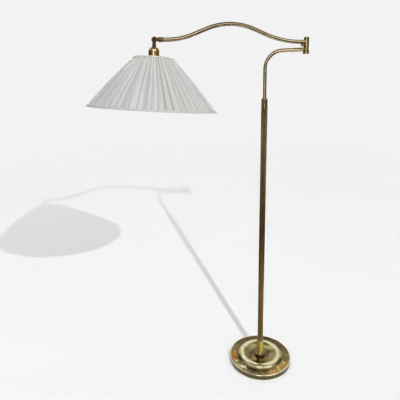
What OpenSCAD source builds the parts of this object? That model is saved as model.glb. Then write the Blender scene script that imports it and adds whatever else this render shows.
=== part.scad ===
// Swing arm floor lamp with a weighted spun base, a reeded column, a sliding stem and a pleated shade.
// Millimetres, +Z up. The origin is on the floor at the centre of the base.

/* [Base] */
// Outside diameter of the base (mm)
base_d = 300; // [270:1:330]
// Height of the rolled rim above the floor (mm)
rim_h = 25; // [24:0.5:27]
// Width of the base outside the crest of the raised ring (mm)
trough_w = 61; // [59:1:64]
// Height of the crest of the raised ring (mm)
ring_h = 40; // [38:0.5:41]
// Height of the dish in the middle of the base (mm)
dish_h = 28; // [27:0.5:29]
// Sheet thickness of the base cover (mm)
cover_t = 1.2; // [1:0.1:1.4]
// Gap between the cast weight and the outside of the cover (mm)
weight_gap = 12; // [11:1:25]
// Thickness of the felt under the base (mm)
felt_t = 2.5; // [2:0.1:3]
// Bore of the cord bush in the rear wall of the base (mm)
cord_bore_d = 6.4; // [6:0.1:7]

/* [Foot] */
// Height of the beaded foot collar (mm)
foot_collar_h = 20; // [18:0.5:22]
// Number of beads round the foot collar
foot_beads = 14; // [10:1:14]
// Height of the smooth foot ferrule (mm)
ferrule_h = 58; // [50:1:64]
// Outside diameter of the smooth foot ferrule (mm)
ferrule_d = 30; // [29.5:0.1:31]
// Height of the beaded ring above the ferrule (mm)
foot_ring_h = 26; // [24:0.5:28]

/* [Column] */
// Diameter of the column over its reeds (mm)
column_d = 26.4; // [26.2:0.1:26.8]
// Number of reeds round the column
reeds = 16; // [15:1:17]
// Bore of the column tube (mm)
column_bore_d = 21.2; // [21:0.1:21.4]
// Height of the top of the column, where the twist lock starts (mm)
column_top = 1241.5; // [1205:0.5:1243]

/* [Twist lock] */
// Outside diameter of the twist lock collar (mm)
lock_d = 25.6; // [25:0.1:26.4]
// Height of the twist lock collar (mm)
lock_h = 28; // [27.5:0.5:30]
// Number of grip flutes round the twist lock collar
lock_flutes = 16; // [12:1:18]

/* [Stem and arm tubes] */
// Outside diameter of the stem and arm tubes (mm)
tube_d = 14; // [13.8:0.1:14.2]
// Wall thickness of the stem and arm tubes (mm)
tube_t = 1; // [0.8:0.1:1.2]
// Height of the centre of the stem's level end (mm)
tail_z = 1448; // [1446:1:1460]
// Radius of the bend in the stem (mm)
stem_bend_r = 65; // [55:1:66]
// Distance from the column axis to the swing axis (mm)
reach = 156; // [150:1:175]
// Height of the lower end of the stem inside the column (mm)
stem_low = 820; // [780:5:840]

/* [Swing arm] */
// Height of the arm tube above the stem's level end (mm)
arm_up = 27; // [26:0.5:28]
// Radius of the arm's bend near the swing axis (mm)
bend_near_r = 400; // [340:5:440]
// Straight length of the arm between the near bend and the crest (mm)
mid_near_l = 50; // [20:1:90]
// Radius of the arm's bend over the crest (mm)
bend_crest_r = 260; // [220:5:300]
// Straight length of the arm between the crest and the far bend (mm)
mid_far_l = 55; // [20:1:90]
// Radius of the arm's bend near the head (mm)
bend_far_r = 275; // [240:5:320]
// Straight length of the arm between the far bend and the fork (mm)
end_far_l = 22.08; // [12:0.02:60]
// Angle of the arm towards the front, seen from above (degrees)
arm_swing = 24; // [0:1:40]

/* [Head] */
// Tilt of the head away from the column (degrees)
head_tilt = 5; // [0:0.5:10]
// Outside diameter of the cup over the lampholder (mm)
cup_d = 39.6; // [39:0.2:42]
// Distance from the tilt axis to the lower edge of the cup (mm)
cup_low = 56.5; // [55.5:0.5:57.5]
// Radius of the glass bulb (mm)
bulb_r = 30; // [28:1:32]

/* [Shade] */
// Distance from the tilt axis to the upper edge of the shade (mm)
shade_top = 60.6; // [60.2:0.1:61.2]
// Distance from the tilt axis to the lower edge of the shade (mm)
shade_low = 237; // [232:1:244]
// Radius of the pleats at the upper edge of the shade (mm)
shade_top_r = 70; // [69:0.5:73]
// Radius of the pleats at the lower edge of the shade (mm)
shade_low_r = 234; // [228:1:238]
// How far the side of the shade bows outwards (mm)
shade_bow = 5; // [3:0.5:6]
// Number of pleats round the shade
pleats = 60; // [48:1:64]
// Depth of the pleats at the upper edge (mm)
pleat_top = 2.2; // [1.8:0.1:2.4]
// Depth of the pleats at the lower edge (mm)
pleat_low = 3.6; // [3:0.1:4]
// Number of upright ribs in the wire frame
ribs = 8; // [6:1:10]

/* [Hidden] */
$fn = 64;

// Clearance of parts that turn or slide on one another
run = 0.05;
// Gap between a fixed piece and the hole it sits in
fit = 0.05;
// Radius of the threaded nipples
nip_r = 5;
tube_r = tube_d / 2;
base_r = base_d / 2;
// Radii of the crest of the raised ring and of the weight
ring_r = base_r - trough_w;
weight_r = base_r - weight_gap;
rim_r = 5;
foot_z1 = dish_h + foot_collar_h;
foot_z2 = foot_z1 + ferrule_h;
foot_z3 = foot_z2 + foot_ring_h;
floor_t = 3;
col_r = column_d / 2;
bore_r = column_bore_d / 2;
// A reed is a round rib whose centre lies on this circle
reed_r = 2.3;
reed_c = col_r - reed_r;
spigot_r = bore_r + 0.8;
sleeve_h = 28;
lock_z0 = column_top + 0.3;
lock_r = lock_d / 2;
thread_r = 10.4;
thread_h = 14.5;
knuckle_r = 10;
pin_r = 4;
arm_z = tail_z + arm_up;
low_z0 = tail_z - 17;
low_z1 = tail_z + 8.5;
up_z0 = low_z1 + 0.8 + run;
up_z1 = arm_z + 10.7;
cap_z1 = arm_z + 17;
end_near = 29;
brace_l = 25;
brace_foot_l = 20;
// Distance from the end of the arm tube to the tilt axis
fork_l = 21;
// Sine and cosine of the arm's steepest angle, about 20.6 degrees
sn = 0.352;
cs = 0.936;
// Points of the arm's centreline, from the swing axis outwards and upwards
ax2 = end_near + bend_near_r * sn;
az2 = bend_near_r * (1 - cs);
ax3 = ax2 + mid_near_l * cs;
az3 = az2 + mid_near_l * sn;
ax4 = ax3 + 2 * bend_crest_r * sn;
ax5 = ax4 + mid_far_l * cs;
az5 = az3 - mid_far_l * sn;
ax6 = ax5 + bend_far_r * sn;
az6 = az5 - bend_far_r * (1 - cs);
// Distance from the swing axis to the tilt axis of the head
arm_l = ax6 + end_far_l + fork_l;
tilt_z = arm_z + az6;
cheek_in = 3.1;
cheek_out = 6.5;
cheek_r = 9.5;
tongue_t = 3.05;
neck_r = 6.8;
neck_top = 16;
neck_low = 26;
core_r = 16.3;
core_low = 88;
screw_r = 2.5;
flange_z = 63;
frame_ring_r = 20.6;
wire_top = 1.6;
wire_low = 1.8;
wire_rib = 1.3;
cloth_t = 1.3;
ring_top_h = shade_top + 2.6;
ring_low_h = shade_low - 3;

brass = [0.72, 0.57, 0.26];
bright = [0.85, 0.67, 0.25];
iron = [0.25, 0.25, 0.26];
steel = [0.7, 0.7, 0.72];
cream = [0.9, 0.86, 0.74];
cloth = [0.88, 0.87, 0.83];
nylon = [0.15, 0.15, 0.15];

function arc(x, y, r, a0, a1, n) =
    [for (i = [0:n]) let (a = a0 + (a1 - a0) * i / n) [x + r * cos(a), y + r * sin(a)]];
function back(p) = [for (i = [len(p) - 1:-1:0]) p[i]];
// The same path moved sideways by t, to the right of its direction
function inset(p, t) = [for (i = [0:len(p) - 1])
    let (d = p[min(i + 1, len(p) - 1)] - p[max(i - 1, 0)]) p[i] + t * [d[1], -d[0]] / norm(d)];

module ring(r0, r1, z0, z1)
    translate([0, 0, z0]) difference() {
        cylinder(r = r1, h = z1 - z0);
        translate([0, 0, -1]) cylinder(r = r0, h = z1 - z0 + 2);
    }

// Spun base cover, from the centre hole outwards and down the wall
trough_h = rim_h - 4.5;
crest_r = 22;
crest_z = ring_h - crest_r;
in_h = crest_z + crest_r * sin(120) - dish_h;
in_r = in_h / (1 - cos(30));
out_h = crest_z + crest_r * sin(45) - trough_h;
out_r = out_h / (1 - cos(45));
in_x = ring_r + crest_r * cos(120) - in_r * sin(30);
out_x = ring_r + crest_r * cos(45) + out_r * sin(45);
cover_path = concat([[nip_r + 0.3, dish_h]],
    arc(in_x, dish_h + in_r, in_r, 270, 300, 8),
    arc(ring_r, crest_z, crest_r, 113, 52, 10),
    arc(out_x, trough_h + out_r, out_r, 225, 270, 10),
    arc(base_r - rim_r, rim_h - rim_r, rim_r, 174, 0, 14),
    [[base_r, 1]]);

module base_cover() color(brass) difference() {
    rotate_extrude() polygon(concat(cover_path, back(inset(cover_path, cover_t))));
    translate([0, base_r - 6, 8.5]) rotate([-90, 0, 0]) cylinder(r = 4.25, h = 12);
}

// Cast weight with a nut pocket and a cord channel to the rear wall
module base_weight() color(iron) difference() {
    rotate_extrude() polygon([[nip_r + 0.3, 11.5], [16, 11.5], [16, felt_t], [weight_r, felt_t],
        [weight_r, 14], [weight_r - 2, 16], [64, 16], [58, dish_h - cover_t],
        [nip_r + 0.3, dish_h - cover_t]]);
    translate([-4.5, 14, felt_t - 1]) cube([9, weight_r, 12.5 - felt_t]);
}

module base_felt() color([0.12, 0.22, 0.16]) cylinder(r = base_r - 3, h = felt_t);

module base_nipple() color(steel) ring(3.4, nip_r, 5, foot_z1 + 20);

module base_washer() color(steel) ring(nip_r + 0.1, 14, 9.5, 11.5);

module base_nut() color(steel) difference() {
    translate([0, 0, 5]) cylinder(r = 9.8, h = 4.5, $fn = 6);
    translate([0, 0, 4]) cylinder(r = nip_r + fit, h = 7);
}

module cord_bush() color(nylon) translate([0, base_r, 8.5]) rotate([-90, 0, 0]) rotate_extrude()
    polygon([[cord_bore_d / 2, -4.5], [5.6, -4.5], [5.6, -1.8], [4.2, -1.8], [4.2, 0],
        [6.3, 0], [6.3, 1.2], [5.3, 2.4], [cord_bore_d / 2, 2.4]]);

// Foot collar: a round moulding with a crown of beads
module foot_collar() color(brass) difference() {
    union() {
        translate([0, 0, dish_h]) rotate_extrude() polygon(concat(
            [[0, 0], [21, 0], [22, 1], [22, 2.4]], [[17.5, 4.6]],
            arc(18, foot_collar_h / 2 + 0.6, 3.6, -60, 60, 8),
            [[17.8, foot_collar_h - 3.4], [17.8, foot_collar_h - 1], [16.6, foot_collar_h],
            [0, foot_collar_h]]));
        for (i = [0:foot_beads - 1]) rotate([0, 0, 360 * i / foot_beads])
            translate([21.6, 0, dish_h + foot_collar_h / 2 + 0.6]) sphere(r = 4.2);
    }
    translate([0, 0, dish_h - 1]) cylinder(r = nip_r + 0.3, h = foot_collar_h + 2);
}

// Smooth ferrule, a cup that the column stands in
module foot_ferrule() color(bright) translate([0, 0, foot_z1]) difference() {
    rotate_extrude() polygon([[0, 0], [ferrule_d / 2 - 0.8, 0], [ferrule_d / 2, 0.8],
        [ferrule_d / 2, ferrule_h], [0, ferrule_h]]);
    translate([0, 0, -1]) cylinder(r = nip_r + 0.3, h = ferrule_h);
    translate([0, 0, floor_t]) cylinder(r = col_r + fit, h = ferrule_h);
}

// Moulded ring with two round edges and a row of beads
module foot_ring() color(brass) difference() {
    union() {
        translate([0, 0, foot_z2]) rotate_extrude() polygon(concat([[13, 0]],
            arc(13.6, 2.6, 2.6, -80, 70, 8), [[14.3, 6]],
            [[14.3, foot_ring_h - 8]], arc(13.6, foot_ring_h - 4.6, 2.3, -70, 70, 8),
            [[14.2, foot_ring_h - 0.8], [13.8, foot_ring_h], [13, foot_ring_h]]));
        for (i = [0:17]) rotate([0, 0, 20 * i])
            translate([13.9, 0, foot_z2 + foot_ring_h / 2 - 0.6]) sphere(r = 2.25);
    }
    translate([0, 0, foot_z2 - 1]) cylinder(r = col_r + fit, h = foot_ring_h + 2);
}

// Threaded insert in the foot of the column
module tube_insert() color(steel) ring(nip_r + fit, bore_r - fit, foot_z1 + floor_t,
    foot_z1 + floor_t + 18);

// Reeded column with a plain spigot for the top ferrule
module outer_tube() color(brass) difference() {
    union() {
        translate([0, 0, foot_z1 + floor_t])
            linear_extrude(column_top - sleeve_h - foot_z1 - floor_t) union() {
                circle(r = reed_c + 0.6);
                for (i = [0:reeds - 1]) rotate(360 * i / reeds) translate([reed_c, 0]) circle(r = reed_r);
            }
        translate([0, 0, column_top - sleeve_h - 1]) cylinder(r = spigot_r, h = sleeve_h - 3);
    }
    translate([0, 0, foot_z1]) cylinder(r = bore_r, h = column_top);
}

// Top ferrule: the grooves between the reeds run out in points on it
module top_ferrule() color(brass) difference() {
    translate([0, 0, column_top - sleeve_h]) rotate_extrude() polygon([[0, 0], [col_r, 0],
        [col_r + 0.4, 1], [col_r + 0.4, sleeve_h - 1], [col_r - 0.4, sleeve_h], [thread_r, sleeve_h],
        [thread_r, sleeve_h + thread_h - 0.8], [thread_r - 0.8, sleeve_h + thread_h],
        [0, sleeve_h + thread_h]]);
    translate([0, 0, column_top - sleeve_h - 1]) cylinder(r = spigot_r + fit, h = sleeve_h - 3);
    cylinder(r = tube_r + 0.35, h = column_top + thread_h + 1);
    for (i = [0:reeds - 1]) rotate([0, 0, 360 * (i + 0.5) / reeds])
        translate([col_r + 0.4, 0, column_top - sleeve_h - 3]) rotate([0, 4, 0]) rotate([0, 0, -45])
            translate([-1.1, -1.1, 0]) cube([4, 4, 28]);
}

// Split collet that the twist lock presses on the stem
module collet() color(nylon) difference() {
    translate([0, 0, column_top + thread_h]) rotate_extrude() polygon([[tube_r + run, 0],
        [9.4, 0], [9.4, 6.5], [8.2, 9], [tube_r + run, 9]]);
    for (a = [30, 150, 270]) rotate([0, 0, a])
        translate([6, -0.5, column_top + thread_h + 2]) cube([5, 1, 9]);
}

// Twist lock collar with grip flutes and a rounded shoulder
module lock_collar() color(brass) translate([0, 0, lock_z0]) difference() {
    rotate_extrude() polygon(concat([[thread_r + run, 0], [lock_r - 1.2, 0], [lock_r - 0.7, 0.6],
        [lock_r - 0.7, 4], [lock_r, 5.2]], arc(lock_r - 5, lock_h - 7, 5, 0, 62, 8),
        [[tube_r + 1.4, lock_h - 1], [tube_r + 1, lock_h], [tube_r + 0.35, lock_h],
        [tube_r + 0.35, lock_h - 3.2], [9.8, lock_h - 4.2], [9.8, thread_h + 0.6],
        [thread_r + run, thread_h + 0.6]]));
    for (i = [0:lock_flutes - 1]) rotate([0, 0, 360 * i / lock_flutes])
        translate([lock_r + 0.9, 0, 6.5]) cylinder(r = 1.5, h = lock_h - 15);
}

// Bush on the foot of the stem, sliding in the column
module guide_bush() color(nylon) difference() {
    translate([0, 0, stem_low + 6]) rotate_extrude() polygon([[tube_r + run, 0], [bore_r - 1, 0],
        [bore_r - run, 1], [bore_r - run, 39], [bore_r - 1, 40], [tube_r + run, 40]]);
    for (a = [0:60:300]) rotate([0, 0, a])
        translate([bore_r - 0.6, -1, stem_low + 5]) cube([2, 2, 42]);
}

module stop_ring_low() color(steel) ring(tube_r + 0.02, 9.2, stem_low + 0.8, stem_low + 5.95);

module stop_ring_high() color(steel) ring(tube_r + 0.02, 9.2, stem_low + 46.05, stem_low + 50);

module pipe2d() difference() {
    circle(r = tube_r);
    circle(r = tube_r - tube_t);
}

// A level length of tube along +X
module run_x(l) rotate([90, 0, 90]) linear_extrude(l) pipe2d();

// A bend that starts along +X and turns up by the angle a, cut square at its end, or down by it
module bend_up(r, a) difference() {
    translate([0, 0, r]) rotate([90, 0, 0]) rotate([0, 0, -90])
        rotate_extrude(angle = a + 1) translate([r, 0]) pipe2d();
    translate([r * sin(a), 0, r * (1 - cos(a))]) rotate([0, -a, 0])
        translate([0, -20, -20]) cube([30, 40, 40]);
}
module bend_down(r, a) mirror([0, 0, 1]) bend_up(r, a);

module stem_tube() color(brass) union() {
    translate([0, 0, stem_low]) linear_extrude(tail_z - stem_bend_r - stem_low) pipe2d();
    translate([stem_bend_r, 0, tail_z - stem_bend_r]) rotate([90, 0, 0]) rotate([0, 0, 90])
        rotate_extrude(angle = 90) translate([stem_bend_r, 0]) pipe2d();
    translate([stem_bend_r, 0, tail_z]) run_x(reach - 5.6 - stem_bend_r);
}

// Lower half of the swing joint, with a wider foot
module lower_knuckle() color(brass) translate([reach, 0, 0]) difference() {
    rotate_extrude() polygon([[0, low_z0], [knuckle_r + 1.2, low_z0], [knuckle_r + 2, low_z0 + 0.8],
        [knuckle_r + 2, low_z0 + 11], [knuckle_r, low_z0 + 12.6], [knuckle_r, low_z1], [0, low_z1]]);
    translate([0, 0, low_z0 + 3]) cylinder(r = pin_r + 0.02, h = 40);
    translate([-5.55, 0, tail_z]) rotate([0, -90, 0]) cylinder(r = tube_r + fit, h = 10);
    translate([0, 0, tail_z]) rotate([0, -90, 0]) cylinder(r = 2.5, h = 8);
}

module hinge_pin() color(steel) translate([reach, 0, 0]) difference() {
    translate([0, 0, low_z0 + 3]) cylinder(r = pin_r, h = up_z1 + 3.5 - low_z0 - 3);
    translate([0, 0, low_z0 + 6]) cylinder(r = 2.2, h = up_z1 - low_z0 - 6);
}

module pin_cap() color(brass) translate([reach, 0, 0]) rotate_extrude() polygon(concat(
    [[pin_r + 0.02, up_z1 + run], [knuckle_r - 0.4, up_z1 + run], [knuckle_r, up_z1 + 0.5],
    [knuckle_r, cap_z1 - 2.6]], arc(knuckle_r - 2, cap_z1 - 2, 2, 0, 80, 6),
    [[0, cap_z1 + 0.4], [0, up_z1 + 3.6], [pin_r + 0.02, up_z1 + 3.6]]));

module swing_washer() color(nylon) translate([reach, 0, 0])
    ring(pin_r + 0.04, knuckle_r - 0.3, low_z1, low_z1 + 0.8);

// The arm and all that it carries are drawn along +X and turned to the resting swing
module at_arm() translate([reach, 0, 0]) rotate([0, 0, 180 + arm_swing]) children();
module at_tilt() at_arm() translate([arm_l, 0, tilt_z]) children();
module at_head() at_tilt() rotate([0, -head_tilt, 0]) children();

// Upper half of the swing joint, with the brace under the arm tube
module upper_knuckle() color(brass) at_arm() difference() {
    union() {
        rotate_extrude() polygon([[0, up_z0], [knuckle_r - 0.4, up_z0], [knuckle_r, up_z0 + 0.4],
            [knuckle_r, up_z1 - 0.4], [knuckle_r - 0.4, up_z1], [0, up_z1]]);
        translate([0, 3, 0]) rotate([90, 0, 0]) linear_extrude(6)
            polygon([[6, up_z0 + 1], [brace_foot_l, up_z0 + 1], [brace_l, arm_z - tube_r],
                [brace_l, arm_z - 5], [6, arm_z - 5]]);
    }
    translate([0, 0, up_z0 - 1]) cylinder(r = pin_r + run, h = up_z1 - up_z0 + 2);
    translate([6.15, 0, arm_z]) rotate([0, 90, 0]) cylinder(r = tube_r + fit, h = 30);
    translate([0, 0, arm_z]) rotate([0, 90, 0]) cylinder(r = 2.5, h = 8);
}

// Arm tube: level, up, over the crest, down and level again
module arm_tube() color(brass) at_arm() translate([0, 0, arm_z]) union() {
    a = asin(sn);
    translate([6.2, 0, 0]) run_x(end_near - 6.2);
    translate([end_near, 0, 0]) bend_up(bend_near_r, a);
    translate([ax2, 0, az2]) rotate([0, -a, 0]) run_x(mid_near_l);
    translate([ax3, 0, az3]) rotate([0, -a, 0]) bend_down(bend_crest_r, a);
    translate([ax3 + bend_crest_r * sn, 0, az3 + bend_crest_r * (1 - cs)]) bend_down(bend_crest_r, a);
    translate([ax4, 0, az3]) rotate([0, a, 0]) run_x(mid_far_l);
    translate([ax5, 0, az5]) rotate([0, a, 0]) bend_up(bend_far_r, a);
    translate([ax6, 0, az6]) run_x(end_far_l);
}

// Fork at the far end of the arm, seen from the tilt axis
module arm_fork() color(brass) at_tilt() difference() {
    union() {
        for (y = [cheek_in, -cheek_out]) translate([0, y, 0]) {
            translate([0, cheek_out - cheek_in, 0]) rotate([90, 0, 0])
                cylinder(r = cheek_r, h = cheek_out - cheek_in);
            translate([5 - fork_l, 0, -5.6]) cube([fork_l - 5, cheek_out - cheek_in, 11.2]);
        }
        translate([1 - fork_l, 0, 0]) rotate([0, 90, 0]) cylinder(r = 8.7, h = 4.5);
        translate([-fork_l - 9, 0, 0]) rotate([0, 90, 0]) rotate_extrude()
            polygon([[0, 0], [7.8, 0], [8.2, 0.4], [8.2, 9.6], [8.7, 10.2], [0, 10.2]]);
    }
    translate([-fork_l - 10, 0, 0]) rotate([0, 90, 0]) cylinder(r = tube_r + fit, h = 10 + fit);
    translate([-fork_l - 1, 0, 0]) rotate([0, 90, 0]) cylinder(r = 3, h = 8);
    translate([0, 10, 0]) rotate([90, 0, 0]) cylinder(r = screw_r + fit, h = 20);
}

module tilt_screw() color(steel) at_tilt() rotate([-90, 0, 0]) difference() {
    union() {
        translate([0, 0, -9]) cylinder(r = screw_r, h = 15.6);
        translate([0, 0, cheek_out]) rotate_extrude()
            polygon([[0, 0], [4.4, 0], [4.4, 1], [3.2, 2], [0, 2]]);
    }
    translate([-5, -0.5, cheek_out + 1.1]) cube([10, 1, 2]);
}

module tilt_nut() color(steel) at_tilt() rotate([90, 0, 0]) difference() {
    translate([0, 0, cheek_out]) cylinder(r = 4.6, h = 2.4, $fn = 6);
    translate([0, 0, cheek_out - 1]) cylinder(r = screw_r + fit, h = 5);
}

// Tongue and neck of the head
module head_tongue() color(brass) at_head() difference() {
    union() {
        translate([0, tongue_t, 0]) rotate([90, 0, 0]) cylinder(r = 9, h = 2 * tongue_t);
        translate([-6.2, -tongue_t, -neck_top - 1]) cube([12.4, 2 * tongue_t, neck_top + 1]);
        translate([0, 0, -neck_low]) rotate_extrude() polygon([[0, 0], [neck_r, 0],
            [neck_r, neck_low - neck_top - 0.5], [neck_r - 0.5, neck_low - neck_top],
            [0, neck_low - neck_top]]);
    }
    translate([0, 10, 0]) rotate([90, 0, 0]) cylinder(r = screw_r + run, h = 20);
    translate([0, 0, -neck_low - 1]) cylinder(r = nip_r + fit, h = 9);
    translate([0, 0, -neck_low]) cylinder(r = 2, h = 16);
}

module neck_ring() color(nylon) at_head() ring(neck_r + 0.02, 7.5, -23.4, -20.6);

module head_nipple() color(steel) at_head() ring(3, nip_r, -33, -18.1);

// Cup over the lampholder
cup_r = cup_d / 2;
cup_path = concat([[nip_r + 0.2, -neck_low]], arc(cup_r - 12.4, -neck_low - 12, 12, 84, 8, 10),
    [[cup_r - 0.2, -cup_low + 3], [cup_r, -cup_low + 1], [cup_r, -cup_low]]);
module socket_cup() color(brass) at_head() rotate_extrude()
    polygon(concat(cup_path, back(inset(cup_path, 1))));

// Lampholder body with the shoulder that the shade hangs on
module socket_core() color(cream) at_head() rotate_extrude() polygon([[nip_r + 0.1, -27.2],
    [8.2, -27.2], [12, -31], [core_r, -35], [core_r, -flange_z + 3], [19, -flange_z + 2.6],
    [19, -flange_z], [core_r, -flange_z], [core_r, -core_low + 0.6], [core_r - 0.6, -core_low],
    [13.45, -core_low], [13.45, -56], [nip_r + 0.1, -56]]);

module socket_shell() color(bright) at_head() ring(13, 13.4, -84, -56.5);

module shade_ring() color(cream) at_head() difference() {
    rotate_extrude() polygon([[core_r + fit, -flange_z - 3.1], [21, -flange_z - 3.1],
        [21.6, -flange_z - 3.8], [21.6, -flange_z - 7], [20.6, -flange_z - 8],
        [core_r + fit, -flange_z - 8]]);
    for (i = [0:11]) rotate([0, 0, 30 * i + 15])
        translate([22.6, 0, -flange_z - 9]) cylinder(r = 1.6, h = 4.9);
}

module bulb_cap() color(steel) at_head() rotate_extrude() polygon([[0, -58.5], [4, -58.5],
    [5, -60], [10, -62], [12.9, -64], [12.9, -87], [13.6, -88.6], [12.6, -88.6], [12, -87.4],
    [12, -66], [0, -66]]);

// Glass bulb, open at the neck where it is cemented into its cap
bulb_h = 186;
glass_path = concat([[11.7, -67], [11.7, -88], [13.8, -96], [16.6, -108]],
    arc(0, -bulb_h + bulb_r, bulb_r, 34, -90, 16));
module bulb_glass() color([0.95, 0.94, 0.9, 0.6]) at_head() rotate_extrude() difference() {
    polygon(concat(glass_path, [[0, -67]]));
    polygon(concat([for (p = glass_path) [max(p[0] - 0.8, 0), p[1] + (p[1] < -140 ? 0.8 : 0)]],
        [[0, -60], [10.9, -60]]));
}

// Radius of the tips of the pleats at the distance h below the tilt axis
function side_u(h) = (h - shade_top) / (shade_low - shade_top);
function side_r(h) = let (u = side_u(h))
    shade_top_r + (shade_low_r - shade_top_r) * u + shade_bow * 4 * u * (1 - u);
function pleat_d(u) = pleat_top + (pleat_low - pleat_top) * u;
// Slope of the side at the two wire rings, as radius per height
slope_top = (side_r(ring_top_h + 1) - side_r(ring_top_h - 1)) / 2;
slope_low = (side_r(ring_low_h + 1) - side_r(ring_low_h - 1)) / 2;
ring_top_r = side_r(ring_top_h) - pleat_d(side_u(ring_top_h)) - cloth_t
    - (wire_top + 0.35) * sqrt(1 + slope_top * slope_top);
ring_low_r = side_r(ring_low_h) - pleat_d(side_u(ring_low_h)) - cloth_t
    - (wire_low + 0.35) * sqrt(1 + slope_low * slope_low);

module hoop(r, w, h) translate([0, 0, -h]) rotate_extrude() translate([r, 0]) circle(r = w);

// Wire frame: lampholder ring, three spokes, two hoops and bowed ribs
module shade_frame() color(steel) at_head() {
    chord = norm([ring_low_r - ring_top_r, ring_low_h - ring_top_h]);
    sag = shade_bow * 0.62;
    rib_r = (chord * chord / 4 + sag * sag) / (2 * sag);
    rib_a = 2 * asin(chord / 2 / rib_r);
    dip = atan((ring_low_h - ring_top_h) / (ring_low_r - ring_top_r));
    union() {
        ring(core_r + 0.1, frame_ring_r, -flange_z - 3, -flange_z - 0.05);
        hoop(ring_top_r, wire_top, ring_top_h);
        hoop(ring_low_r, wire_low, ring_low_h);
        for (a = [30, 150, 270]) rotate([0, 0, a]) translate([19, 0, -flange_z - 1.5])
            rotate([0, atan2(ring_top_r - 19, flange_z + 1.5 - ring_top_h), 0])
            cylinder(r = 1.35, h = norm([ring_top_r - 19, ring_top_h - flange_z - 1.5]));
        for (i = [0:ribs - 1]) rotate([0, 0, 360 * (i + 0.5) / ribs])
            translate([ring_top_r, 0, -ring_top_h]) rotate([0, dip - rib_a / 2, 0])
            mirror([0, 0, 1]) translate([0, 0, rib_r]) rotate([90, 0, 0]) rotate([0, 0, -90])
            rotate_extrude(angle = rib_a) translate([rib_r, 0]) circle(r = wire_rib);
    }
}

// Gathered pleats: uneven in width and depth, straight from the upper edge to the lower
n_side = 2 * pleats;
rows = 4;
function pleat_a(i) = (i + 0.2 * sin(i * 97 + 20)) * 360 / n_side;
function pleat_in(i) = i % 2 == 1 ? 1 : 0.2 * (1 + sin(i * 61));
function cloth_pt(i, j, t) = let (u = j / (rows - 1), h = shade_top + (shade_low - shade_top) * u,
    r = side_r(h) - pleat_in(i) * pleat_d(u) - t) [r * cos(pleat_a(i)), r * sin(pleat_a(i)), -h];
module shade_cover() color(cloth) at_head() polyhedron(
    points = concat([for (j = [0:rows - 1], i = [0:n_side - 1]) cloth_pt(i, j, 0)],
        [for (j = [0:rows - 1], i = [0:n_side - 1]) cloth_pt(i, j, cloth_t)]),
    faces = let (n = n_side, m = rows * n_side) concat(
        [for (j = [0:rows - 2], i = [0:n - 1]) let (k = (i + 1) % n)
            each [[j * n + i, j * n + k, j * n + n + i], [j * n + k, j * n + n + k, j * n + n + i]]],
        [for (j = [0:rows - 2], i = [0:n - 1]) let (k = (i + 1) % n)
            each [[m + j * n + k, m + j * n + i, m + j * n + n + i],
                [m + j * n + n + k, m + j * n + k, m + j * n + n + i]]],
        [for (i = [0:n - 1]) let (k = (i + 1) % n) each [[i, m + i, k], [k, m + i, m + k]]],
        [for (i = [0:n - 1]) let (k = (i + 1) % n, b = (rows - 1) * n)
            each [[b + i, b + k, m + b + i], [b + k, m + b + k, m + b + i]]]));

// Tape over the upper edge and the lower edge of the cloth
tape_t = 1.1;
tape_gap = 0.5;
tape_h = 6;
module top_trim() color(cloth) at_head() rotate_extrude() polygon([
    [side_r(shade_top) + tape_gap, -shade_top + 0.35],
    [side_r(shade_top + tape_h) + tape_gap, -shade_top - tape_h],
    [side_r(shade_top + tape_h) + tape_gap + tape_t, -shade_top - tape_h],
    [side_r(shade_top) + tape_gap + tape_t, -shade_top],
    [side_r(shade_top) + tape_gap + tape_t - 0.9, -shade_top + 1.1],
    [ring_top_r - 0.6, -shade_top + 1.1], [ring_top_r - 0.6, -shade_top + 0.35]]);

module bottom_trim() color(cloth) at_head() rotate_extrude() polygon([
    [side_r(shade_low) + tape_gap - 0.2, -shade_low - 0.35],
    [side_r(shade_low - tape_h) + tape_gap, -shade_low + tape_h],
    [side_r(shade_low - tape_h) + tape_gap + tape_t, -shade_low + tape_h],
    [side_r(shade_low) + tape_gap + tape_t, -shade_low],
    [side_r(shade_low) + tape_gap + tape_t - 0.9, -shade_low - 1.1],
    [ring_low_r - 0.6, -shade_low - 1.1], [ring_low_r - 0.6, -shade_low - 0.35]]);

base_cover();
base_weight();
base_felt();
base_nipple();
base_washer();
base_nut();
cord_bush();
foot_collar();
foot_ferrule();
foot_ring();
tube_insert();
outer_tube();
top_ferrule();
collet();
lock_collar();
guide_bush();
stop_ring_low();
stop_ring_high();
stem_tube();
lower_knuckle();
hinge_pin();
pin_cap();
swing_washer();
upper_knuckle();
arm_tube();
arm_fork();
tilt_screw();
tilt_nut();
head_tongue();
neck_ring();
head_nipple();
socket_cup();
socket_core();
socket_shell();
shade_ring();
bulb_cap();
bulb_glass();
shade_frame();
shade_cover();
top_trim();
bottom_trim();
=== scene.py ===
import math
import bpy
import numpy as np
from mathutils import Matrix, Vector


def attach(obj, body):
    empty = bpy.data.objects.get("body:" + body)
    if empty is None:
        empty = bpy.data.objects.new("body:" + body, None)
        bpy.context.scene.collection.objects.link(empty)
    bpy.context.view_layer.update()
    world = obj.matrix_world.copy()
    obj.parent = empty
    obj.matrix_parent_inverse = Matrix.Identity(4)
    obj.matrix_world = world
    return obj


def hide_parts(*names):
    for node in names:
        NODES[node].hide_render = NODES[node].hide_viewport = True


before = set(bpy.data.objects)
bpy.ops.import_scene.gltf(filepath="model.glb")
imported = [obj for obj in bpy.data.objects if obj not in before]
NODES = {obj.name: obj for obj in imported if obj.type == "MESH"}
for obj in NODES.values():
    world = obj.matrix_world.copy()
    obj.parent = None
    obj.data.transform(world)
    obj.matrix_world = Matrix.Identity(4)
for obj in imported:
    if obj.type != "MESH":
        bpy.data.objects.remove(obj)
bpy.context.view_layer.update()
SCENE = bpy.context.scene


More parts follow.
